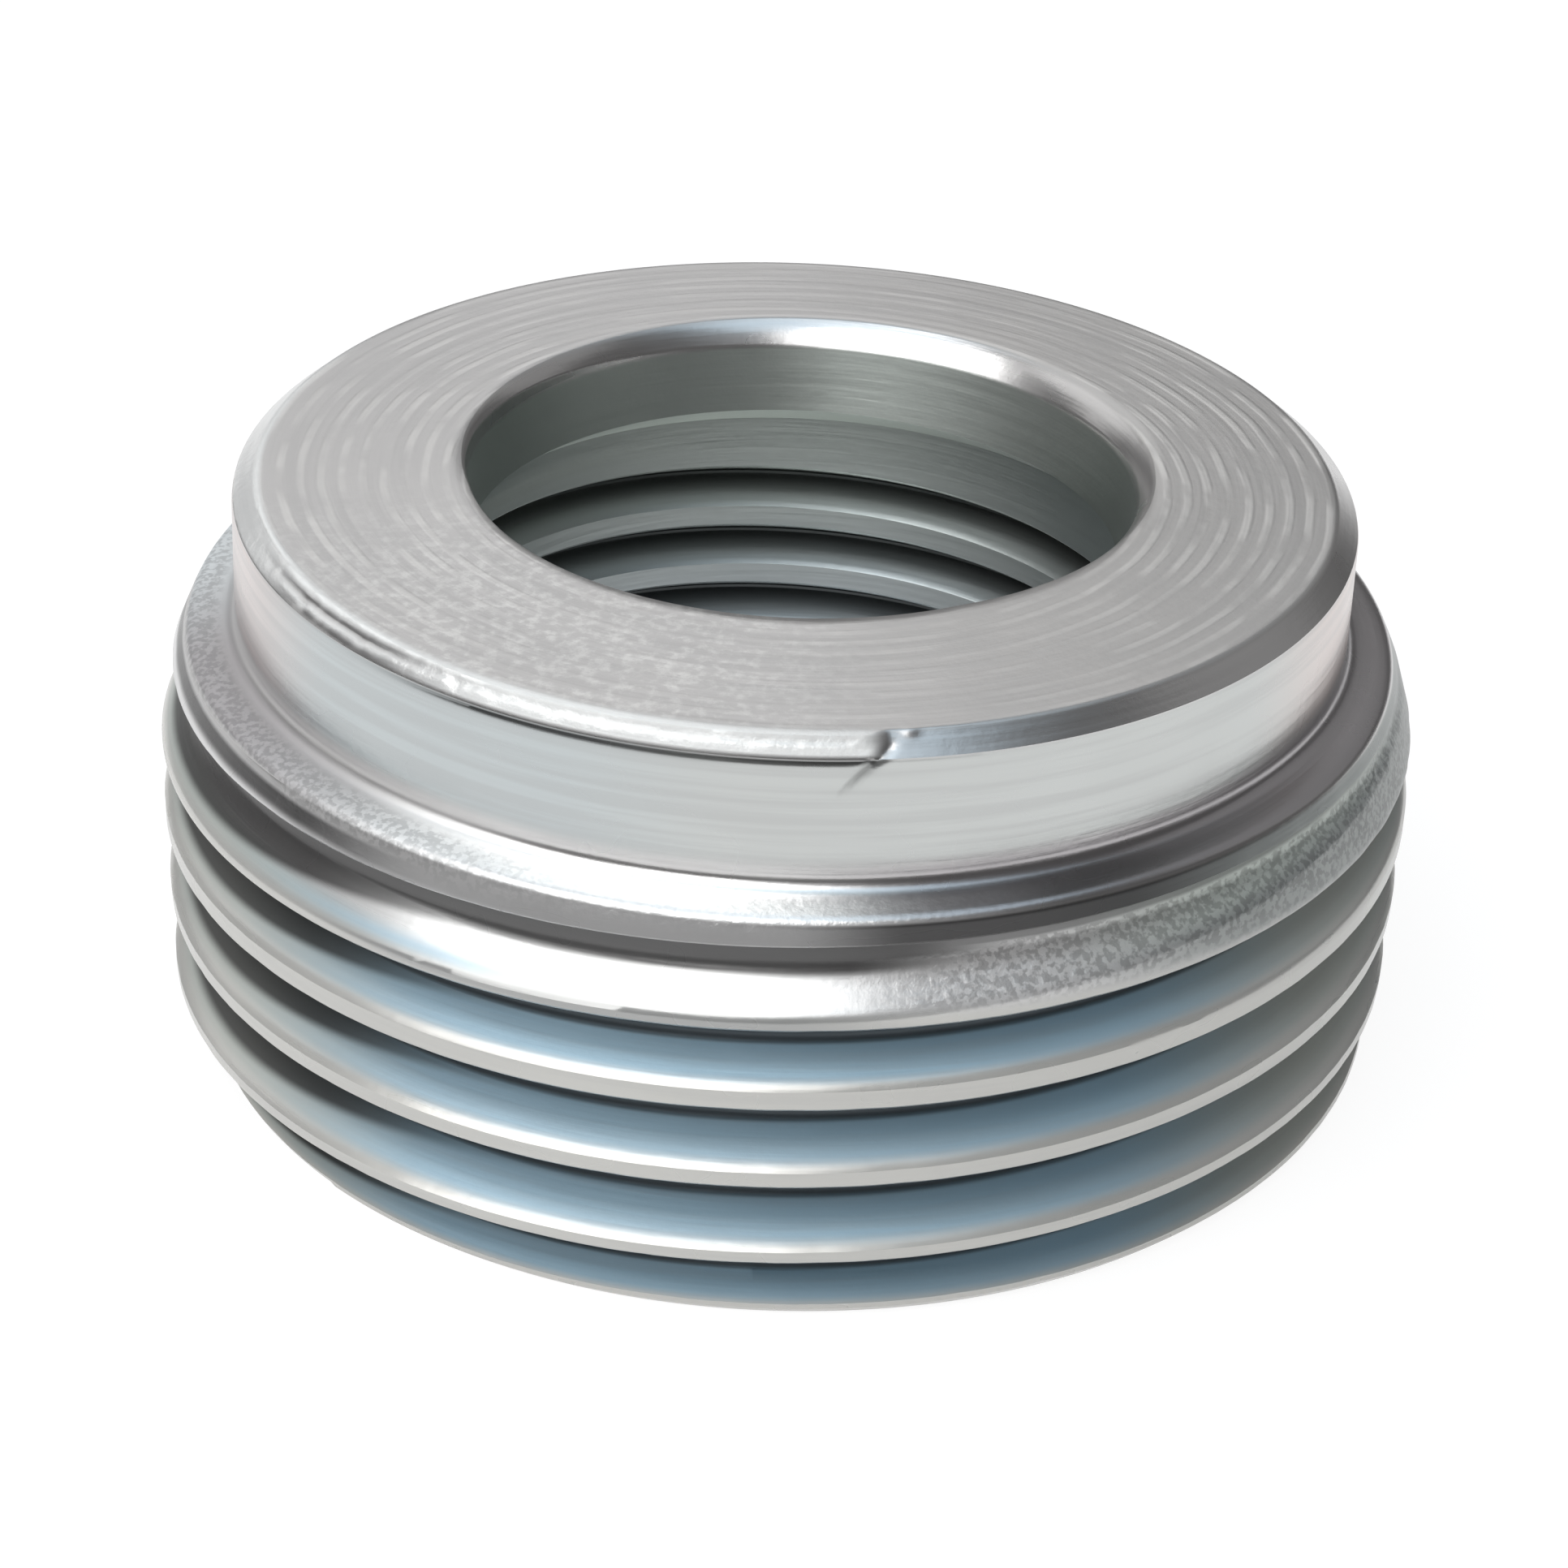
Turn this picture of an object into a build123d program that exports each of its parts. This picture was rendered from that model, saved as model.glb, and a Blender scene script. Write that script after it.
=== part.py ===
from build123d import *
from math import atan, cos, degrees, radians, sin, tan
import os

# A threaded steel conduit reducer, turned from one piece of bar.
# It stands on its flat lower face, with its axis on Z and that face at Z = 0.
# The wide male thread is outside. The narrow female thread is tapped up into it from below.
# A plain collar with a smooth wire mouth stands on top of the thread's shoulder.

# Overall form, all in millimetres
shoulder_height = 11.5
collar_height = 3.9
collar_diameter = 29.1
rim_chamfer_width = 0.6
rim_chamfer_height = 0.5
collar_fillet = 0.5
shoulder_fall = 0.3

# The threaded part's upper end is turned down to a shallow crown before the thread is cut
crown_length = 3.2
crown_fall = 0.85
crown_flats = 4

# Male thread: one inch pipe size, 11 threads to the inch, tapering 1 in 16 on the diameter.
# Its grooves are cut shallower towards the shoulder.
male_diameter = 33.249
male_gauge_height = 10.4
male_pitch = 25.4 / 11
male_lower_depth = 1.55
male_upper_depth = 1.1
male_root_flat = 0.33
male_end_gap = 1.25
male_last_turns = 1.5
male_run_out_angle = 100
male_nose_chamfer = 0.8
flank_angle = 27.5
pipe_taper = 1 / 32

# Female bore: half inch pipe size. It is drilled for tapping, blind below the end wall.
# The bore's wall stands at the crests of the female thread.
female_diameter = 20.955
female_mouth_chamfer = 0.3
tapping_diameter = 19.0
drill_point_angle = 59

# Wire throat: a plain hole through the end wall, its mouth rounded over
throat_diameter = 17.2
end_wall = 2.3
mouth_radius = 1.0

# The groove cutter reaches this far past the blank, and starts this far below the lower face
cutter_clearance = 0.2
start_clearance = 0.1

overall_height = shoulder_height + collar_height
male_radius = male_diameter / 2
collar_radius = collar_diameter / 2
throat_radius = throat_diameter / 2
tapping_radius = tapping_diameter / 2
front = 270


def blank_radius(height):
    """Radius of the tapered blank that the male thread is cut into, at a height."""
    return male_radius + (height - male_gauge_height) * pipe_taper


def crowned_end(edge_height):
    """Points of the crown, from its start on the cone up to the edge of the shoulder."""
    points = []
    for flat in range(crown_flats + 1):
        share = flat / crown_flats
        height = edge_height - crown_length * (1 - share)
        points.append((blank_radius(height) - crown_fall * share**2, height))
    return points


def rounding(center, radius, start, end, flats):
    """Points of a round corner cut as a few narrow flats, from one angle to another."""
    angles = [radians(start + (end - start) * i / flats) for i in range(flats + 1)]
    return [(center[0] + radius * cos(a), center[1] + radius * sin(a)) for a in angles]


def groove_cutter(path, reach):
    """Solid of a V groove along a path, narrow at the path and open outwards."""
    start = path @ 0
    half_root = male_root_flat / 2
    half_mouth = half_root + reach * tan(radians(flank_angle))
    with BuildPart() as cutter:
        with BuildSketch(Plane(origin=start, x_dir=(start.X, start.Y, 0), z_dir=path % 0)):
            with BuildLine():
                Polyline(
                    (0, -half_root),
                    (reach, -half_mouth),
                    (reach, half_mouth),
                    (0, half_root),
                    close=True,
                )
            make_face()
        sweep(path=path, is_frenet=True)
    return cutter.part


# The right-hand groove starts just below the lower face and climbs as a helix.
# It passes the front at the finish height. There it leaves the helix on a tangent
# and runs out of the metal over part of a turn. Its last turns cross the crown,
# and they are cut on their own, above the middle height.
male_reach = male_lower_depth + cutter_clearance
finish = shoulder_height - male_end_gap
middle = finish - male_last_turns * male_pitch
low = -male_root_flat / 2 - male_reach * tan(radians(flank_angle)) - start_clearance
lower_root_radius = blank_radius(0) - male_lower_depth
upper_root_radius = blank_radius(finish) - male_upper_depth
root_taper = (upper_root_radius - lower_root_radius) / finish


def turns_climbed(start, end):
    """Angle that the groove turns through between two heights."""
    return 360 * (end - start) / male_pitch


def groove_helix(start, end):
    """Helix of the groove's root between two heights."""
    with BuildLine() as turns:
        Helix(
            male_pitch,
            end - start,
            lower_root_radius + start * root_taper,
            center=(0, 0, start),
            cone_angle=degrees(atan(root_taper)),
        )
    return turns.line


lower_helix = groove_helix(low, middle)
last_helix = groove_helix(middle, finish)
run_out_end = radians(turns_climbed(middle, finish) + male_run_out_angle)
run_out_radius = upper_root_radius + male_reach
with BuildLine() as run_out:
    Spline(
        last_helix @ 1,
        (
            run_out_radius * cos(run_out_end),
            run_out_radius * sin(run_out_end),
            finish + male_pitch * male_run_out_angle / 360,
        ),
        tangents=(last_helix % 1, (-sin(run_out_end), cos(run_out_end), 0)),
    )

# Every path with the height that it starts from, which gives its turn about the axis
groove_paths = [(lower_helix, low), (last_helix, middle), (run_out.line, middle)]

nose_radius = blank_radius(male_nose_chamfer) - male_nose_chamfer
throat_height = overall_height - end_wall
drill_point_rise = (tapping_radius - throat_radius) / tan(radians(drill_point_angle))
female_mouth_radius = female_diameter / 2 + female_mouth_chamfer
fillet_center = (collar_radius + collar_fillet, shoulder_height + collar_fillet)
mouth_center = (throat_radius + mouth_radius, overall_height - mouth_radius)

with BuildPart() as reducer_body:
    with BuildSketch(Plane.XZ):
        with BuildLine():
            Polyline(
                (female_mouth_radius, 0),
                (nose_radius, 0),
                (blank_radius(male_nose_chamfer), male_nose_chamfer),
                *crowned_end(shoulder_height - shoulder_fall),
                *rounding(fillet_center, collar_fillet, start=270, end=180, flats=2),
                (collar_radius, overall_height - rim_chamfer_height),
                (collar_radius - rim_chamfer_width, overall_height),
                *rounding(mouth_center, mouth_radius, start=90, end=180, flats=3),
                (throat_radius, throat_height),
                (tapping_radius, throat_height - drill_point_rise),
                (tapping_radius, female_mouth_radius - tapping_radius),
                close=True,
            )
        make_face()
    revolve(axis=Axis.Z)
    for path, start in groove_paths:
        groove = groove_cutter(path, male_reach)
        add(groove.rotate(Axis.Z, front - turns_climbed(start, finish)), mode=Mode.SUBTRACT)

reducer_body.part.label = "reducer_body"
os.makedirs("parts", exist_ok=True)
export_step(reducer_body.part, "parts/reducer_body.step")
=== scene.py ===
from math import atan2, cos, degrees, exp, hypot, pi, radians, sin, tan

import bmesh
import bpy
from mathutils import Matrix, Vector, noise


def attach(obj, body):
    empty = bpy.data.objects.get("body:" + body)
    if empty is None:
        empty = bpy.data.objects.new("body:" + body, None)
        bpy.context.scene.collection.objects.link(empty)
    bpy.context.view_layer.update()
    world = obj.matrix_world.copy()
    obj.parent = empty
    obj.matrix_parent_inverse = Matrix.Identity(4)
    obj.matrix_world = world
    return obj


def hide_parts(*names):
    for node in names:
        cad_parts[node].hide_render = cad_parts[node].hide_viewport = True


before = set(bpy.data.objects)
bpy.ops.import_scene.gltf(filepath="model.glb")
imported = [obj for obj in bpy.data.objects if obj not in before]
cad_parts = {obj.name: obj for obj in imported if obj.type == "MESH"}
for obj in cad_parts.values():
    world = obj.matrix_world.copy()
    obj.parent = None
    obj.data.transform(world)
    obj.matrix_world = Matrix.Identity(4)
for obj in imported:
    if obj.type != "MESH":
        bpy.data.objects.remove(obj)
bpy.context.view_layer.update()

# The reducer body: one piece of mild steel bar, turned and bored on a lathe, threaded outside
# with a die and inside with a tap, then zinc plated bright. Its whole surface is one closed
# skin: two wound strips of thread section, joined by rings. Sizes are in millimetres.

mm = 0.001
columns = 376
weld_gap = 0.002 * mm
level_slack = 0.001

shoulder_height = 11.5
shoulder_fall = 0.3
collar_height = 3.9
collar_radius = 14.55
rim_width = 0.6
rim_height = 0.5
collar_fillet = 0.4
foot_height = 11.46
crown_length = 3.2
crown_fall = 0.85
top_height = shoulder_height + collar_height
edge_height = shoulder_height - shoulder_fall

male_radius = 33.249 / 2
male_gauge_height = 10.4
male_pitch = 25.4 / 11
male_lower_depth = 1.55
male_upper_depth = 1.1
male_half_flat = 0.165
male_finish = 10.25
male_run_out = 100
nose_chamfer = 0.8
pipe_taper = 1 / 32
flank_slope = tan(radians(27.5))

# The die was worn. It cut the lower flanks a little flat, and scraped the last turn open
worn_slope = 0.06
scraped_slope = 0.4
scraped_upper_slope = 0.18
scraped_flat = 0.13

female_radius = 20.955 / 2
female_pitch = 25.4 / 14
female_half_flat = 0.08
female_finish = 11.3
female_run_out = 60
female_mouth_radius = female_radius + 0.3
tapping_radius = 9.5
throat_bottom = 13.1
drill_rise = 0.54
bore_top = throat_bottom - 0.9


def smooth(t):
    t = min(1.0, max(0.0, t))
    return t * t * (3 - 2 * t)


def cone_radius(z):
    return male_radius + (z - male_gauge_height) * pipe_taper


def male_surface(z):
    """Radius of the blank: the taper, the crown at its upper end and the nose chamfer."""
    crown = max(0.0, 1 - (edge_height - z) / crown_length)
    nose = cone_radius(nose_chamfer) - nose_chamfer + z
    return min(cone_radius(z) - crown_fall * crown * crown, nose)


def male_root(centre):
    """Radius of the groove's root, which tapers less than the crests do."""
    share = centre / male_finish
    return cone_radius(centre) - male_lower_depth - share * (male_upper_depth - male_lower_depth)


def male_fade(centre):
    """Share of its depth that the groove keeps. Past the finish the die lets go."""
    return 1 - smooth((centre - male_finish) * 360 / male_pitch / male_run_out)


def last_turn(centre):
    """Share of the way from the full turns (0) to the last, scraped turn (1)."""
    return smooth((centre - male_finish + 0.6 * male_pitch) / (0.4 * male_pitch))


def male_slopes(centre):
    """Rise of the lower and upper flanks. The last turn's lower flank is scraped open."""
    last = last_turn(centre)
    return flank_slope + worn_slope + scraped_slope * last, flank_slope - scraped_upper_slope * last


def male_half_root(centre):
    return male_half_flat + scraped_flat * last_turn(centre)


def bore_surface(z):
    """Radius of the tapped bore, with the countersink at its mouth."""
    return max(tapping_radius, female_mouth_radius - z)


def female_root(centre):
    return female_radius


def female_fade(centre):
    return 1 - smooth((centre - female_finish) * 360 / female_pitch / female_run_out)


def female_slopes(centre):
    return flank_slope, flank_slope


def female_half_root(centre):
    return female_half_flat


def groove_edges(centre, side, surface, root, half_root, slopes):
    """Heights where a groove's two flanks meet the surface, found by closing in on them."""
    least_depth = 0.02
    edges = []
    for way, slope in zip((-1, 1), slopes):
        z = centre + way * half_root
        for _ in range(9):
            depth = max(least_depth, side * (surface(z) - root))
            z = centre + way * (half_root + depth * slope)
        edges.append(z)
    return edges


# Rows of the strip on each flank, as shares of the way from its crest (0) to its root (1)
flank_rows = (0.09, 0.19, 0.6, 0.93)
rows_a_pitch = 1 + 2 * (len(flank_rows) + 3)
most_of_crest = 0.42
least_rounding = 0.01
bend_place, bend_drop = 0.3, 0.12
faded_width = 0.3


def thread_skin(
    pitch, finish, low, high, side, surface, root_at, half_root_at, slopes_at, fade_at, roundings
):
    """One long strip of thread section, wrapped round the axis so that it climbs one pitch a turn.

    The side is 1 for a groove cut inwards and -1 for one cut outwards. The roundings are those
    of the crest's edges above the lower flank and below the upper one.
    """
    first_turn = -2 - int((finish - low) / pitch)
    turns = 3 + int((high - low) / pitch) + 1
    rows = turns * rows_a_pitch
    bm = bmesh.new()
    flank_mark = bm.verts.layers.float.new("flank")
    under_mark = bm.verts.layers.float.new("under")
    bmesh.ops.create_grid(bm, x_segments=columns, y_segments=rows - 1, size=1)
    grooves = {}

    def groove(step):
        """Centre, lower and upper edge, root and half width of the groove at a step round it."""
        if step not in grooves:
            centre = finish + pitch * (first_turn + step / columns)
            root, half_root = root_at(centre), half_root_at(centre)
            edges = groove_edges(centre, side, surface, root, half_root, slopes_at(centre))
            grooves[step] = (centre, *edges, root, half_root)
        return grooves[step]

    for v in bm.verts:
        column = round((v.co.x + 1) / 2 * columns)
        turn, k = divmod(round((v.co.y + 1) / 2 * (rows - 1)), rows_a_pitch)
        centre, lower, upper, root, half_root = groove(turn * columns + column)
        below = groove((turn - 1) * columns + column)[2]
        above = groove((turn + 1) * columns + column)[1]
        mark = 0.0
        if k == 0:
            z = (below + lower) / 2
            r = surface(z)
        else:
            way = -1 if k <= rows_a_pitch // 2 else 1
            edge = lower if way < 0 else upper
            place = k - 1 if way < 0 else rows_a_pitch - 1 - k
            crest = lower - below if way < 0 else above - upper
            rounding = min(roundings[way > 0], max(least_rounding, crest * most_of_crest))
            if place == 0:
                z = edge + way * rounding
                r = surface(z)
            elif place == 1:
                z = edge + way * rounding * bend_place
                r = surface(z) - side * rounding * bend_drop
            elif place == 2 + len(flank_rows):
                z = centre + way * half_root * 0.5
                r = root
                mark = 1.0
            else:
                mark = flank_rows[place - 2]
                z = edge + (centre + way * half_root - edge) * mark
                r = surface(edge) + (root - surface(edge)) * mark
            fade = fade_at(centre)
            z = centre + (z - centre) * (faded_width + (1 - faded_width) * fade)
            r = surface(z) - (surface(z) - r) * fade
            mark *= fade
            v[under_mark] = mark if way > 0 else 0.0
        angle = radians(270 + 360 * column / columns)
        v[flank_mark] = mark
        v.co = (r * cos(angle) * mm, r * sin(angle) * mm, z * mm)
    bmesh.ops.remove_doubles(bm, verts=bm.verts, dist=weld_gap)
    return bm, flank_mark


def cut_level(bm, z, above=False, below=False):
    bmesh.ops.bisect_plane(
        bm, geom=bm.verts[:] + bm.edges[:] + bm.faces[:], dist=0.0005 * mm,
        plane_co=(0, 0, z * mm), plane_no=(0, 0, 1), clear_outer=above, clear_inner=below,
    )


def radius_of(v):
    return hypot(v.co.x, v.co.y) / mm


def set_radius(v, r):
    k = r / radius_of(v)
    v.co.x *= k
    v.co.y *= k


def at_level(v, z):
    return abs(v.co.z / mm - z) < level_slack


def even_loop(bm, z):
    """Welds the odd vertices of a cut onto its columns, so that every loop has one per column."""
    step = 2 * pi / columns
    on_column, odd = {}, []
    for v in bm.verts:
        if at_level(v, z):
            place = (atan2(v.co.y, v.co.x) + pi / 2) / step
            if abs(place - round(place)) < 0.01:
                on_column[round(place) % columns] = v
            else:
                odd.append((v, round(place) % columns))
    bmesh.ops.weld_verts(bm, targetmap={v: on_column[place] for v, place in odd})


body, flank_mark = thread_skin(
    male_pitch, male_finish, 0, edge_height, 1,
    male_surface, male_root, male_half_root, male_slopes, male_fade, roundings=(0.34, 0.14),
)
cut_level(body, 0, below=True)
cut_level(body, nose_chamfer)
cut_level(body, edge_height, above=True)
for v in body.verts:
    limit = male_surface(v.co.z / mm)
    if v[flank_mark] < 0.01 or radius_of(v) > limit:
        set_radius(v, limit)
even_loop(body, 0)
even_loop(body, edge_height)


def rim_loop(bm, z):
    """Boundary edges of the skin that lie at a height."""
    return [e for e in bm.edges if e.is_boundary and all(at_level(v, z) for v in e.verts)]


def grow_rings(bm, loop, outline, shape=None):
    """Extrudes a boundary loop through every (radius, height) of an outline.

    With a shape, the outline's rings are arguments of that shape, and it gives radius and
    height for every direction.
    """
    for ring in outline:
        grown = bmesh.ops.extrude_edge_only(bm, edges=loop)["geom"]
        for v in (g for g in grown if isinstance(g, bmesh.types.BMVert)):
            r, z = shape(atan2(v.co.y, v.co.x), *ring) if shape else ring
            set_radius(v, r)
            v.co.z = z * mm
            v[flank_mark] = 0.0
        loop = [g for g in grown if isinstance(g, bmesh.types.BMEdge) and g.is_boundary]
    return loop


def arc(cx, cz, radius, start, end, steps):
    turns = [radians(start + (end - start) * i / steps) for i in range(steps + 1)]
    return [(cx + radius * cos(a), cz + radius * sin(a)) for a in turns]


def between(start, end, shares):
    return [tuple(a + (b - a) * share for a, b in zip(start, end)) for share in shares]


# From the thread's upper end over the shoulder's rolled edge, the fillet at the collar's foot,
# the collar's wall and the chamfer of its rim. Rows stand closest where the rim is rolled over.
edge_radius = male_surface(edge_height)
shoulder_roll = ((0.04, 0.07), (0.12, 0.13), (0.26, 0.17), (0.45, 0.2), (0.7, 0.23))
wall_rows = (0.12, 0.25, 0.38, 0.5, 0.62, 0.74, 0.84, 0.92, 0.97)
chamfer_rows = (0.04, 0.12, 0.26, 0.42, 0.58, 0.74, 0.88, 0.96)
wall_foot = (collar_radius, foot_height + collar_fillet)
wall_top = (collar_radius, top_height - rim_height)
face_radius = collar_radius - rim_width
fillet = arc(
    collar_radius + collar_fillet, foot_height + collar_fillet, collar_fillet,
    start=262, end=180, steps=7,
)
collar_top = grow_rings(body, rim_loop(body, edge_height), [
    *[(edge_radius - inward, edge_height + rise) for inward, rise in shoulder_roll],
    *fillet,
    *between(wall_foot, wall_top, wall_rows),
    *between(wall_top, (face_radius, top_height), chamfer_rows),
])

# The throat and its countersink were cut a little off centre
throat_x, throat_y, throat_radius = 0.0, 0.3, 8.5
countersink_x, countersink_y, countersink_radius = 0.3, 0.95, 9.05
least_edge = 0.1
countersink_share = 0.5
countersink_bulge = 0.1


def off_centre(turn, x, y, radius):
    """Distance from the axis to a circle that stands off centre, in one direction."""
    along, across = x * cos(turn) + y * sin(turn), x * sin(turn) - y * cos(turn)
    return along + (radius * radius - across * across) ** 0.5


def throat_mouth(turn, share):
    """The face and the throat. The countersink is wide at the back only.

    A share from 0 to 1 runs over the face, to 2 down the countersink and to 3 down the throat.
    """
    inner = off_centre(turn, throat_x, throat_y, throat_radius)
    outer = off_centre(turn, countersink_x, countersink_y, countersink_radius)
    outer = max(inner + least_edge, outer)
    width = countersink_share * (outer - inner)
    if share <= 1:
        return face_radius - (face_radius - outer) * share, top_height
    if share <= 2:
        down = share - 1
        return outer - width * down, top_height - width * (down - countersink_bulge * sin(pi * down))
    start, end = (outer - width, top_height - width), (inner, throat_bottom + 0.02)
    return between(start, end, [share - 2])[0]


face_rows = [0.012, 0.035] + [0.07 + 0.93 * i / 14 for i in range(15)]
mouth_rows = [1.06, 1.2, 1.4, 1.6, 1.8, 1.93, 2.0, 2.03, 2.08, 2.3, 2.6, 2.9, 3.0]
throat_end = grow_rings(
    body, collar_top, [(share,) for share in face_rows + mouth_rows], throat_mouth,
)
grow_rings(body, throat_end, [
    (tapping_radius, throat_bottom - drill_rise), (tapping_radius, bore_top),
])
grow_rings(body, rim_loop(body, 0), [(14.3, 0), (13.0, 0), (female_mouth_radius, 0)])

bore, bore_mark = thread_skin(
    female_pitch, female_finish, 0, bore_top, -1,
    bore_surface, female_root, female_half_root, female_slopes, female_fade,
    roundings=(0.08, 0.16),
)
cut_level(bore, 0, below=True)
cut_level(bore, female_mouth_radius - tapping_radius)
cut_level(bore, bore_top, above=True)
for v in bore.verts:
    limit = bore_surface(v.co.z / mm)
    if v[bore_mark] < 0.01 or at_level(v, 0) or radius_of(v) < limit:
        set_radius(v, limit)
even_loop(bore, 0)
even_loop(bore, bore_top)
bore_mesh = bpy.data.meshes.new("bore_skin")
bore.to_mesh(bore_mesh)
bore.free()
body.from_mesh(bore_mesh)
bpy.data.meshes.remove(bore_mesh)
bmesh.ops.remove_doubles(body, verts=body.verts, dist=weld_gap)
bmesh.ops.recalc_face_normals(body, faces=body.faces)


def azimuth(co):
    """Angle about the axis in degrees: 0 at the front, growing to the right."""
    return degrees(atan2(co.x, -co.y))


# The rim is rolled over and torn from the left round to just past the front. Its faces there
# are divided more finely.
chosen = set()
for f in body.faces:
    c = f.calc_center_median()
    if c.z > 13.85 * mm and hypot(c.x, c.y) > 13.5 * mm and -76 < azimuth(c) < 18:
        chosen.update(f.edges)
bmesh.ops.subdivide_edges(body, edges=list(chosen), cuts=1, use_grid_fill=True)
body.normal_update()
rough_mark = body.verts.layers.float.new("rough")
# The dark mark holds painted shade: the seam under the roll, the hollow and the nick
shade_mark = body.verts.layers.float.new("dark")

rim_run = hypot(rim_width, rim_height)
rim_arc_radius = 14.25
torn_left, torn_right, rolled_left, worn_left = -72, 9.8, -52, -130
upper_beads, lower_beads = 0.86 * rim_run, 0.36 * rim_run
bead_push, bead_change = 0.05, 0.05
lower_push, lower_rolled_push, lower_change = 0.016, 0.032, 0.042
roll_push = 0.15
seam_depth, hollow_depth = 0.04, 0.015

# The nick runs up the rim from the wall, and a small tick stands to its right. Both are given
# as (arc length from the front, way up the rim).
nick_start, nick_end = Vector((1.28, -0.85)), Vector((2.5, 0.45))
nick_way = (nick_end - nick_start).normalized()
nick_length = (nick_end - nick_start).length
nick_depth = 0.06
nick_burr = 0.015
tick, tick_size, tick_height = Vector((2.95, 0.72)), 0.15, 0.035


def along_rim(v):
    """Place on the rim as (arc length from the front, way up the wall, the chamfer and inwards)."""
    r = radius_of(v)
    up = v.co.z / mm - (top_height - rim_height)
    if up > 0:
        up = (collar_radius - r) / rim_width * rim_run
        if r < face_radius:
            up = rim_run + face_radius - r
    return radians(azimuth(v.co)) * rim_arc_radius, up


def ridge(offset, width):
    """1 on a line, falling softly to 0 on both sides of it."""
    return exp(-(offset / width) ** 2)


def beads(a, up, coarse, coarse_row, fine, fine_row):
    """Size of the beads of a torn row, at a place on the rim."""
    large = noise.noise(Vector((a * coarse, *coarse_row)))
    return large + 0.6 * noise.noise(Vector((a * fine, up * 1.5, fine_row)))


def torn_rim(turn, a, up):
    """Outward push, roughness and painted shade of the rolled part of the rim."""
    torn = smooth((turn - torn_left) / 14) * smooth((torn_right - turn) / 2.5)
    if torn == 0:
        return 0.0, 0.0, 0.0
    rolled = smooth((turn - rolled_left) / 26)
    bead = beads(a, up, 1.7, (0.0, 3.1), 4.3, 7.7)
    lower_bead = beads(a, up, 1.9, (5.0, 9.1), 4.6, 2.7)
    lift = smooth(a - 1.3)
    upper_row = ridge(up - upper_beads - rim_run * 0.05 * bead, 0.15)
    lower_row = ridge(up - lower_beads - rim_run * (0.05 * lower_bead + 0.4 * lift), 0.12)
    push = rolled * roll_push * smooth(up / rim_run) * smooth((rim_run + 0.5 - up) / 0.5)
    push += upper_row * (bead_push + bead_change * bead)
    push += lower_row * (lower_push + lower_rolled_push * rolled + lower_change * lower_bead)
    seam = ridge(up + 0.04, 0.08) * rolled
    hollow = ridge(up - rim_run * 0.6, 0.07) * (1 - 0.6 * rolled)
    push -= seam * seam_depth + hollow * hollow_depth
    on_chamfer = smooth((up - 0.05) / 0.1) * smooth((rim_run + 0.08 - up) / 0.1)
    rough = max(0.9 * upper_row, 0.7 * lower_row, on_chamfer * rolled)
    lower_dark = ridge(up - rim_run * 0.12, 0.1) * (1 - rolled)
    dark = max(0.85 * seam, 0.55 * hollow * smooth(bead + 0.9), 0.45 * lower_dark)
    return torn * push, torn * rough, torn * dark


def worn_left_edge(turn, up):
    """Roughness of the chamfer left of the torn part, with a bright line on its upper edge. On the
    rim this mark also lays on a near-white painted highlight.
    """
    if up <= 0.05:
        return 0.0
    far_left = smooth((turn - worn_left) / 30) * smooth((-50 - turn) / 16)
    on_chamfer = smooth(up / 0.1) * smooth((rim_run - up) / 0.1)
    return far_left * max(ridge(up - rim_run * 1.02, 0.09), 0.6 * on_chamfer)


def nick(place):
    """Depth of the nick at a place on the rim, and height of the burr along its left side."""
    here = place - nick_start
    along = here.dot(nick_way) / nick_length
    beside = here.x * nick_way.y - here.y * nick_way.x
    if not -0.15 < along < 1.15 or abs(beside) > 0.8:
        return 0.0, 0.0
    window = smooth((along + 0.1) / 0.35) * smooth((1.1 - along) / 0.3)
    cut = window * ridge(beside, 0.05 + 0.07 * smooth(along * 1.6))
    return cut, window * ridge(beside + 0.2, 0.1) * smooth((along - 0.45) / 0.3)


moves = []
for v in body.verts:
    if v.co.z < 13.9 * mm or radius_of(v) < 13.3:
        continue
    a, up = along_rim(v)
    turn = azimuth(v.co)
    push, rough, dark = torn_rim(turn, a, up)
    cut, burr = nick(Vector((a, up)))
    push += nick_burr * burr - nick_depth * cut
    push += tick_height * ridge((Vector((a, up)) - tick).length, tick_size)
    v[rough_mark] = max(rough, worn_left_edge(turn, up))
    # Painted shade in the seam, the hollow and the nick
    v[shade_mark] = max(dark, 0.65 * cut)
    if abs(push) > 0.001:
        moves.append((v, v.normal.copy(), push))
for v, way, push in moves:
    v.co += way * push * mm
    v.co.z = min(v.co.z, top_height * mm)

# The die tore the crests a little, and the scraped turn most on the right
widest = 16.515
crest_tear, scraped_tear = 0.016, 0.02
for v in body.verts:
    r, z, turn = radius_of(v), v.co.z / mm, azimuth(v.co)
    if r > 12 and 0.02 < z < edge_height - 0.02:
        a = radians(turn) * 16.5
        tear = noise.noise(Vector((a * 1.1, z * 1.2, 11.0)))
        tear += 0.4 * noise.noise(Vector((a * 3.1, z * 2, 1.0)))
        if v[flank_mark] < 0.5:
            r -= crest_tear * max(0.0, tear + 0.2)
        scraped = smooth((z - 9.0) / 0.4) * smooth((10.9 - z) / 0.4)
        scraped *= smooth((turn - 2) / 18) * smooth((110 - turn) / 40)
        r -= scraped_tear * scraped * (tear + 0.3)
        v[rough_mark] = max(v[rough_mark], scraped)
        set_radius(v, min(r, widest))
    elif edge_height - 0.1 < z < shoulder_height and r > 14.7:
        v[rough_mark] = smooth((r - 14.8) / 0.4) * smooth((30 - turn) / 40)
    v.co.z = max(v.co.z, 0.0)

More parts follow.
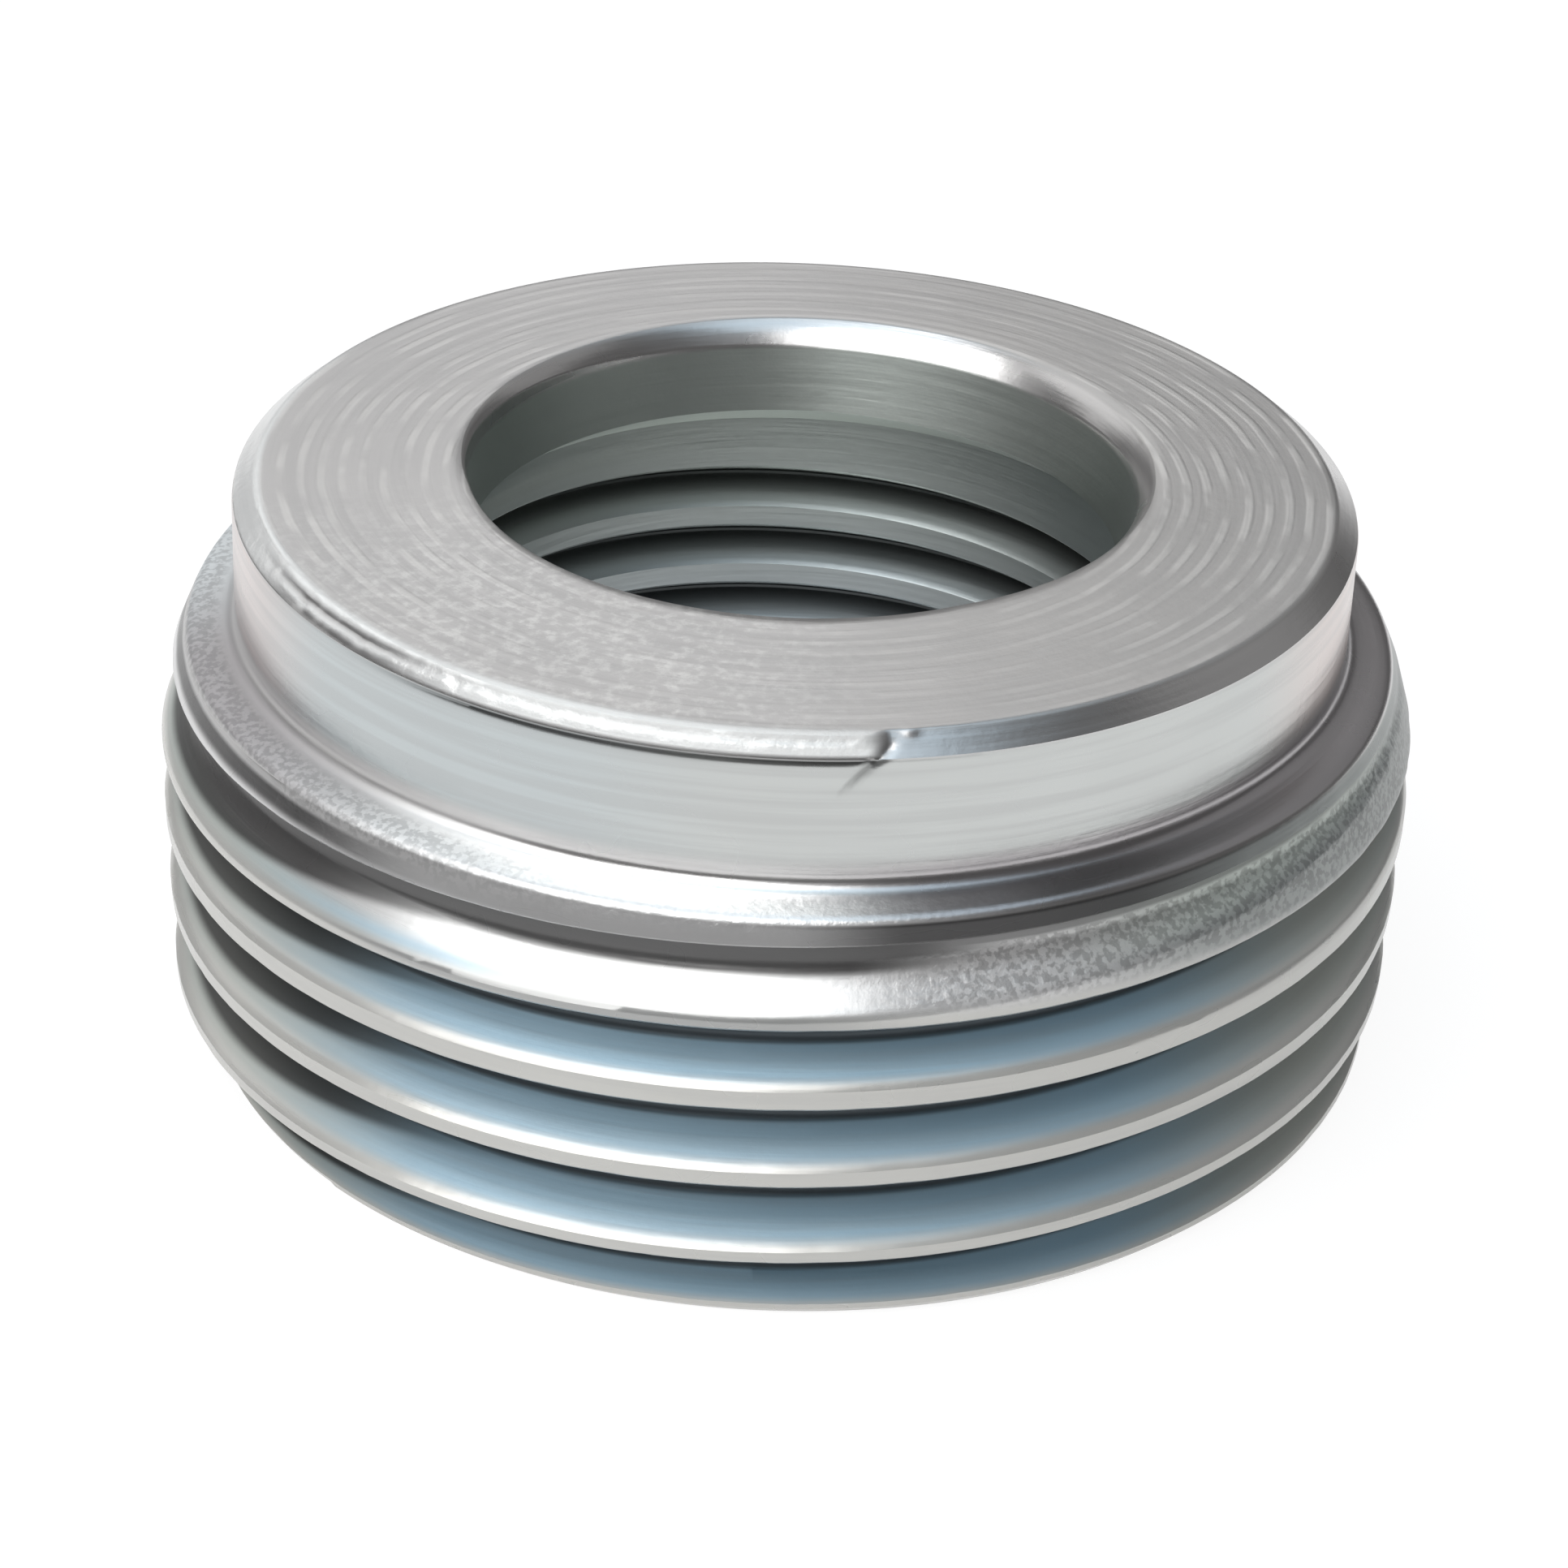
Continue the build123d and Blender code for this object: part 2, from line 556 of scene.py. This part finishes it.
reducer_mesh = bpy.data.meshes.new("turned_body")
body.to_mesh(reducer_mesh)
body.free()
for polygon in reducer_mesh.polygons:
    polygon.use_smooth = True
reducer_mesh.set_sharp_from_angle(angle=radians(35))
turned_body = bpy.data.objects.new("turned_body", reducer_mesh)
bpy.context.scene.collection.objects.link(turned_body)


class Finish:
    """One material, with short calls that add nodes to it and give back their sockets."""

    def __init__(self, name):
        self.material = bpy.data.materials.new(name)
        self.material.use_nodes = True
        self.tree = self.material.node_tree
        self.tree.nodes.clear()

    def fill(self, socket, value):
        """Gives a socket a value, or links another node's socket to it."""
        if isinstance(value, bpy.types.NodeSocket):
            self.tree.links.new(value, socket)
        else:
            socket.default_value = value

    def node(self, kind, inputs=(), **settings):
        made = self.tree.nodes.new(kind)
        for key, value in settings.items():
            setattr(made, key, value)
        for place, value in inputs:
            self.fill(made.inputs[place], value)
        return made

    def math(self, operation, *values):
        return self.node("ShaderNodeMath", enumerate(values), operation=operation).outputs[0]

    def chain(self, operation, values):
        result = values[0]
        for value in values[1:]:
            result = self.math(operation, result, value)
        return result

    def times(self, *values):
        return self.chain("MULTIPLY", values)

    def plus(self, *values):
        return self.chain("ADD", values)

    def most(self, *values):
        return self.chain("MAXIMUM", values)

    def ramp(self, value, low, high, to_low=0.0, to_high=1.0):
        """A soft step from to_low, where the value is low, to to_high, where it is high."""
        made = self.node("ShaderNodeMapRange", enumerate((value, low, high, to_low, to_high)))
        made.interpolation_type = "SMOOTHSTEP"
        return made.outputs[0]

    def band(self, value, rise, fall):
        """1 between two soft steps. Each is a pair: the values where it is 0 and where it is 1."""
        return self.times(self.ramp(value, *rise), self.ramp(value, *fall))

    def blend(self, share, under, over):
        """Mixes two colours. A share of 1 leaves only the second."""
        made = self.node("ShaderNodeMix", data_type="RGBA")
        for name, value in (("Factor", share), ("A", under), ("B", over)):
            socket = next(s for s in made.inputs if s.name == name and s.enabled)
            self.fill(socket, (*value, 1) if isinstance(value, tuple) else value)
        return next(s for s in made.outputs if s.enabled)


zinc = Finish("zinc_plate")
place = zinc.node("ShaderNodeTexCoord").outputs["Object"]
in_mm = zinc.node(
    "ShaderNodeVectorMath", [(0, place), (1, (1 / mm, 1 / mm, 1 / mm))], operation="MULTIPLY",
).outputs[0]
x, y, z = zinc.node("ShaderNodeSeparateXYZ", [(0, in_mm)]).outputs
flat = zinc.node("ShaderNodeCombineXYZ", [(0, x), (1, y)]).outputs[0]
r = zinc.node("ShaderNodeVectorMath", [(0, flat)], operation="LENGTH").outputs["Value"]

# Direction about the axis: side_x is -1 at the left and 1 at the right, side_y -1 in front
side_x, side_y = zinc.math("DIVIDE", x, r), zinc.math("DIVIDE", y, r)
off_side = zinc.math("ABSOLUTE", side_x)
# The dark attribute is painted shade on the rim and in the nick
flank, rough, rim_shade, downward = (
    zinc.node("ShaderNodeAttribute", attribute_name=name).outputs["Fac"]
    for name in ("flank", "rough", "dark", "under")
)


def lathe_lines(lines_a_mm, change_a_turn, detail, roughness):
    """Noise that runs round the axis in fine lines, as a turning tool leaves them."""
    vector = zinc.node("ShaderNodeCombineXYZ", [
        (0, zinc.times(r, lines_a_mm)),
        (1, zinc.times(z, lines_a_mm)),
        (2, zinc.times(side_x, change_a_turn)),
    ]).outputs[0]
    return zinc.node("ShaderNodeTexNoise", [
        ("Vector", vector), ("W", zinc.times(side_y, change_a_turn)),
        ("Scale", 1.0), ("Detail", detail), ("Roughness", roughness),
    ], noise_dimensions="4D").outputs[0]


def specks(a_mm, detail, roughness=0.5):
    """Noise without a direction, with so many specks to the millimetre."""
    return zinc.node("ShaderNodeTexNoise", [
        ("Vector", in_mm), ("Scale", a_mm), ("Detail", detail), ("Roughness", roughness),
    ]).outputs[0]


feed_a_turn = 0.53
fine_lines = lathe_lines(3.0, 1.2, 3.0, 0.55)
face_clouds = lathe_lines(0.9, 5.0, 2.0, 0.5)
grain = specks(3.2, 3.0, 0.6)
pitting = specks(6.0, 2.0)
clouds = specks(0.35, 2.0)
feed_phase = zinc.plus(zinc.times(r, 2 * pi / feed_a_turn), zinc.times(clouds, 2.0))
feed_wave = zinc.math("SINE", feed_phase)

# Where the surface is: by height, by distance from the axis and by the marks left on the mesh
outside = zinc.ramp(r, 12.5, 13.0)
inside = zinc.times(zinc.ramp(r, 10.9, 10.6), zinc.ramp(z, 14.85, 14.7))
on_face = zinc.ramp(z, 15.3, 15.38)
on_wall = zinc.times(zinc.band(z, (11.9, 12.3), (14.95, 14.85)), zinc.ramp(r, 14.0, 14.3))
on_rim = zinc.ramp(z, 14.7, 14.9)
above_edge = zinc.ramp(z, 11.15, 11.25)
on_foot = zinc.band(z, (12.3, 11.8), (11.2, 11.35))
on_shoulder = zinc.times(above_edge, zinc.ramp(z, 11.7, 11.5))
on_crown = zinc.times(outside, zinc.band(z, (10.45, 10.7), (11.24, 11.16)))
below_last_turn = zinc.ramp(z, 9.3, 8.9)
outer_flank = zinc.times(flank, outside)
inner_flank = zinc.math("SUBTRACT", flank, outer_flank)
full_flanks = zinc.times(zinc.ramp(outer_flank, 0.04, 0.3), below_last_turn)
last_flank = zinc.times(
    zinc.ramp(outer_flank, 0.02, 0.15), zinc.band(z, (8.9, 9.2), (10.6, 10.4)),
)
last_crest = zinc.times(
    zinc.ramp(outer_flank, 0.12, 0.04), zinc.band(z, (8.5, 8.7), (9.6, 9.3)),
)
last_groove = zinc.times(zinc.ramp(z, 9.5, 9.8), zinc.ramp(side_x, 0.35, 0.1))
run_out = zinc.times(
    outside, zinc.ramp(side_x, 0.35, 0.7), zinc.band(z, (8.9, 9.3), (11.25, 11.15)),
)
front_left = zinc.band(side_x, (-0.75, -0.5), (0.25, 0.0))
behind_left = zinc.times(zinc.ramp(side_x, -0.5, -0.8), zinc.ramp(side_y, -0.3, 0.15))
aside = zinc.ramp(off_side, 0.5, 0.88)

# The tool's feed left rings on the face, most at the sides; their light colour is a painted
# highlight. The face's front gets painted glints.
feed = zinc.times(
    zinc.ramp(feed_wave, -0.2, 0.9), zinc.ramp(face_clouds, 0.38, 0.6),
    zinc.plus(0.2, zinc.times(aside, 0.35)),
)
painted_glints = zinc.times(
    zinc.ramp(grain, 0.42, 0.72), zinc.ramp(side_y, -0.1, -0.75), zinc.ramp(side_x, 0.3, -0.25),
)
turned_lines = zinc.times(
    zinc.ramp(fine_lines, 0.42, 0.62), zinc.plus(0.14, zinc.times(on_wall, 0.16)),
)

# Painted shade in dark lines where shade falls: the roots, the undersides of crests, the seam under
# the rolled rim, the nick, the crown's sides and the bore's thread. Also real dark pits in the rough
# plate.
left_shift = zinc.times(zinc.ramp(side_x, -0.45, -0.92), 0.5)
left_root_shade = zinc.ramp(zinc.plus(outer_flank, left_shift), 0.72, 0.92)
crown_right_shade = zinc.times(zinc.band(side_x, (0.0, 0.2), (0.8, 0.5)), 0.85)
crown_left_shade = zinc.times(zinc.ramp(z, 11.05, 10.9), zinc.ramp(side_x, -0.5, -0.75))
pits_left = zinc.times(zinc.ramp(side_x, -0.25, -0.6), 0.24)
pits_right = zinc.times(zinc.ramp(side_x, 0.05, 0.3), 0.34)
pits = zinc.times(zinc.ramp(pitting, 0.58, 0.42), rough, zinc.plus(0.06, pits_left, pits_right))
shade_under_crests = zinc.times(
    zinc.ramp(downward, 0.1, 0.5), outside, zinc.plus(0.7, zinc.times(last_groove, 0.3)),
)
shade_and_pits = zinc.most(
    rim_shade,
    shade_under_crests,
    zinc.ramp(outer_flank, 0.86, 0.97),
    zinc.times(last_groove, zinc.ramp(outer_flank, 0.7, 0.9)),
    zinc.times(left_root_shade, zinc.ramp(side_x, -0.3, -0.75)),
    zinc.times(on_crown, crown_right_shade),
    zinc.times(on_crown, crown_left_shade),
    zinc.times(pits, zinc.ramp(z, 14.0, 13.5)),
    zinc.times(zinc.ramp(inner_flank, 0.1, 0.9), 0.75),
)

bright_zinc = (0.70, 0.69, 0.685)
wall_zinc = (0.58, 0.595, 0.585)
wall_blue = (0.54, 0.595, 0.615)
wall_pink = (0.72, 0.60, 0.57)
foot_shade_grey = (0.50, 0.48, 0.49)
highlight_white = (0.97, 0.97, 0.96)
rim_highlight_white = (0.98, 0.98, 0.96)
shoulder_shade_grey = (0.46, 0.44, 0.445)
shoulder_reflection_pale = (0.76, 0.79, 0.80)
crest_zinc = (0.62, 0.61, 0.58)
crown_grey = (0.46, 0.45, 0.445)
last_crest_shade_grey = (0.44, 0.44, 0.43)
face_shade_grey = (0.62, 0.61, 0.60)
feed_highlight_white = (0.92, 0.91, 0.89)
glint_white = (1.0, 1.0, 0.98)
line_grey = (0.42, 0.42, 0.42)
shade_and_pit_black = (0.03, 0.028, 0.028)
flank_blue, flank_green = (0.41, 0.58, 0.69), (0.53, 0.56, 0.53)
run_out_shade_crest, run_out_flank_grey = (0.33, 0.345, 0.335), (0.58, 0.62, 0.58)
bore_pale, bore_deep_shade, bore_shade = (0.58, 0.625, 0.59), (0.42, 0.46, 0.48), (0.16, 0.17, 0.165)

flank_tint = zinc.blend(aside, flank_blue, flank_green)
# Painted shade: the run-out on the right is dark on its crests and grey on its flanks
run_out_shade_tint = zinc.blend(zinc.ramp(flank, 0.05, 0.4), run_out_shade_crest, run_out_flank_grey)
# Painted shade: the bore is darker deeper down and towards the right
bore_tint = zinc.blend(zinc.ramp(z, 13.4, 5.5), bore_pale, bore_deep_shade)
bore_tint = zinc.blend(zinc.times(zinc.ramp(side_x, 0.1, 0.9), 0.6), bore_tint, bore_shade)

# Coats of colour, each laid over the last one
coats = [
    (on_wall, wall_zinc),
    (zinc.times(on_wall, zinc.ramp(side_x, -0.05, -0.4), 0.6), wall_blue),
    (zinc.times(on_wall, zinc.ramp(off_side, 0.76, 0.95), 0.6), wall_pink),
    # Painted shade: the collar's foot and fillet are darker on the right
    (zinc.times(on_foot, zinc.ramp(side_x, -0.05, 0.35)), foot_shade_grey),
    # Painted highlight: the shoulder is white at the front left
    (zinc.times(on_shoulder, front_left), highlight_white),
    # Painted shade on the shoulder at the far left, and a painted pale reflection on it behind at
    # the left
    (zinc.times(on_shoulder, zinc.ramp(side_x, -0.6, -0.9)), shoulder_shade_grey),
    (zinc.times(on_shoulder, behind_left), shoulder_reflection_pale),
    # The torn rim is rough and matt, and its near-white colour there is a painted highlight
    (zinc.times(rough, on_rim), rim_highlight_white),
    (zinc.times(outside, below_last_turn), crest_zinc),
    # Painted highlight: the last turn's lower flank is white at the front left
    (zinc.times(last_flank, front_left), highlight_white),
    (on_crown, crown_grey),
    # Painted shade: the last crest is darker at the front left
    (zinc.times(last_crest, front_left), last_crest_shade_grey),
    (run_out, run_out_shade_tint),
    # Painted shade: the face is greyer towards the right
    (zinc.times(on_face, zinc.ramp(side_x, -0.2, 0.6)), face_shade_grey),
    (zinc.times(full_flanks, 0.95), flank_tint),
    # Painted highlights: light feed rings, and glints on the face's front
    (zinc.times(on_face, feed), feed_highlight_white),
    (zinc.times(on_face, painted_glints, 0.6), glint_white),
    (turned_lines, line_grey),
    (zinc.times(inside, 0.95), bore_tint),
    # Painted shade in roots, under crests, on the rim and in the bore, with real pits
    (zinc.times(shade_and_pits, 0.88), shade_and_pit_black),
]
colour = bright_zinc
for share, coat in coats:
    colour = zinc.blend(share, colour, coat)

# The plate is matt on the torn and scraped parts, and bright elsewhere
matt_share = zinc.most(
    zinc.times(outside, zinc.ramp(z, 11.2, 11.1), 0.6),
    zinc.times(rough, zinc.ramp(z, 14.7, 14.9, 0.6, 0.9)),
    zinc.times(on_shoulder, zinc.ramp(side_x, 0.1, -0.25), 0.4),
)
near_foot = zinc.times(
    above_edge, zinc.ramp(z, 12.2, 11.9), zinc.ramp(side_x, -0.35, -0.6),
)
blur = zinc.plus(
    0.22,
    zinc.times(clouds, 0.12),
    zinc.times(on_face, 0.1),
    zinc.times(full_flanks, 0.14),
    zinc.times(rough, 0.08),
    zinc.times(near_foot, 0.16),
    zinc.times(inside, 0.16),
)
relief = zinc.plus(
    zinc.times(fine_lines, 0.4),
    zinc.times(feed, on_face, 0.4),
    zinc.times(grain, zinc.plus(0.14, zinc.times(rough, 0.9))),
)
bump = zinc.node("ShaderNodeBump", [("Height", relief), ("Distance", 0.03 * mm), ("Strength", 1.0)])
metal = zinc.node("ShaderNodeBsdfPrincipled", [
    ("Base Color", colour),
    ("Metallic", zinc.math("SUBTRACT", 1.0, matt_share)),
    ("Roughness", blur),
    ("Normal", bump.outputs[0]),
])
zinc.node("ShaderNodeOutputMaterial", [("Surface", metal.outputs["BSDF"])])
reducer_mesh.materials.append(zinc.material)

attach(turned_body, "root")
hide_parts("reducer_body")

# The floor: a wide sheet of plain matt white paper, which the reducer stands on. It is seen
# white, and takes the reducer's soft shadow.

floor_mesh = bpy.data.meshes.new("floor")
sheet = bmesh.new()
bmesh.ops.create_grid(sheet, x_segments=1, y_segments=1, size=3.0)
sheet.to_mesh(floor_mesh)
sheet.free()
floor = bpy.data.objects.new("floor", floor_mesh)
bpy.context.scene.collection.objects.link(floor)
paper = Finish("white_sheet")
matt = paper.node("ShaderNodeBsdfDiffuse", [("Color", (0.9, 0.9, 0.9, 1))])
glow = paper.node("ShaderNodeEmission", [("Strength", 1.12)])
path = paper.node("ShaderNodeLightPath").outputs
seen = paper.most(path["Is Camera Ray"], path["Is Glossy Ray"], path["Is Transmission Ray"])
mix = paper.node("ShaderNodeMixShader", [
    (0, paper.times(seen, 0.8)), (1, matt.outputs[0]), (2, glow.outputs[0]),
])
paper.node("ShaderNodeOutputMaterial", [("Surface", mix.outputs[0])])
floor_mesh.materials.append(paper.material)

# The light: a grey room with large soft panels, one before and to the left, a cool one
# overhead and two behind. The front right is left dark.

world = bpy.data.worlds.new("grey_room")
world.use_nodes = True
world.node_tree.nodes["Background"].inputs["Color"].default_value = (0.11, 0.108, 0.108, 1)
world.node_tree.nodes["Background"].inputs["Strength"].default_value = 1.0
bpy.context.scene.world = world


def soft_panel(name, turn, elevation, distance, width, height, radiance, colour=(1, 1, 1)):
    """A soft panel that faces the reducer. A turn of 0 is the front, and it grows to the right."""
    lamp = bpy.data.lights.new(name, "AREA")
    lamp.shape = "RECTANGLE"
    lamp.size = width
    lamp.size_y = height
    lamp.energy = radiance * pi * width * height
    lamp.color = colour
    panel = bpy.data.objects.new(name, lamp)
    away = Vector((
        sin(radians(turn)) * cos(radians(elevation)),
        -cos(radians(turn)) * cos(radians(elevation)),
        sin(radians(elevation)),
    ))
    panel.location = away * distance
    panel.rotation_euler = away.to_track_quat("Z", "Y").to_euler()
    bpy.context.scene.collection.objects.link(panel)


soft_panel("front_left", -40, 53, distance=1.0, width=1.0, height=0.66, radiance=3.8)
soft_panel("overhead", 0, 88, 1.0, 0.8, 0.8, radiance=1.0, colour=(0.68, 0.86, 1.0))
soft_panel("behind_left", -150, 40, distance=1.2, width=1.5, height=0.8, radiance=0.8)
soft_panel("behind_right", 140, 40, distance=1.2, width=1.5, height=0.8, radiance=0.2)

# The camera stands before the reducer and looks down at it, turned a little on its own axis.
# Its place and its lens were solved from the rims in the photograph.

camera_place = (0, -0.10505, 0.06502)
camera_tilt = 29.28
camera_roll = 2.38
lens = bpy.data.cameras.new("camera")
lens.sensor_width = 36
lens.lens = 102.78
lens.clip_start = 0.01
lens.clip_end = 20
camera = bpy.data.objects.new("camera", lens)
camera.matrix_world = (
    Matrix.Translation(camera_place)
    @ Matrix.Rotation(radians(90 - camera_tilt), 4, "X")
    @ Matrix.Rotation(radians(camera_roll), 4, "Z")
)
bpy.context.scene.collection.objects.link(camera)
bpy.context.scene.camera = camera
bpy.context.scene.view_settings.view_transform = "Standard"
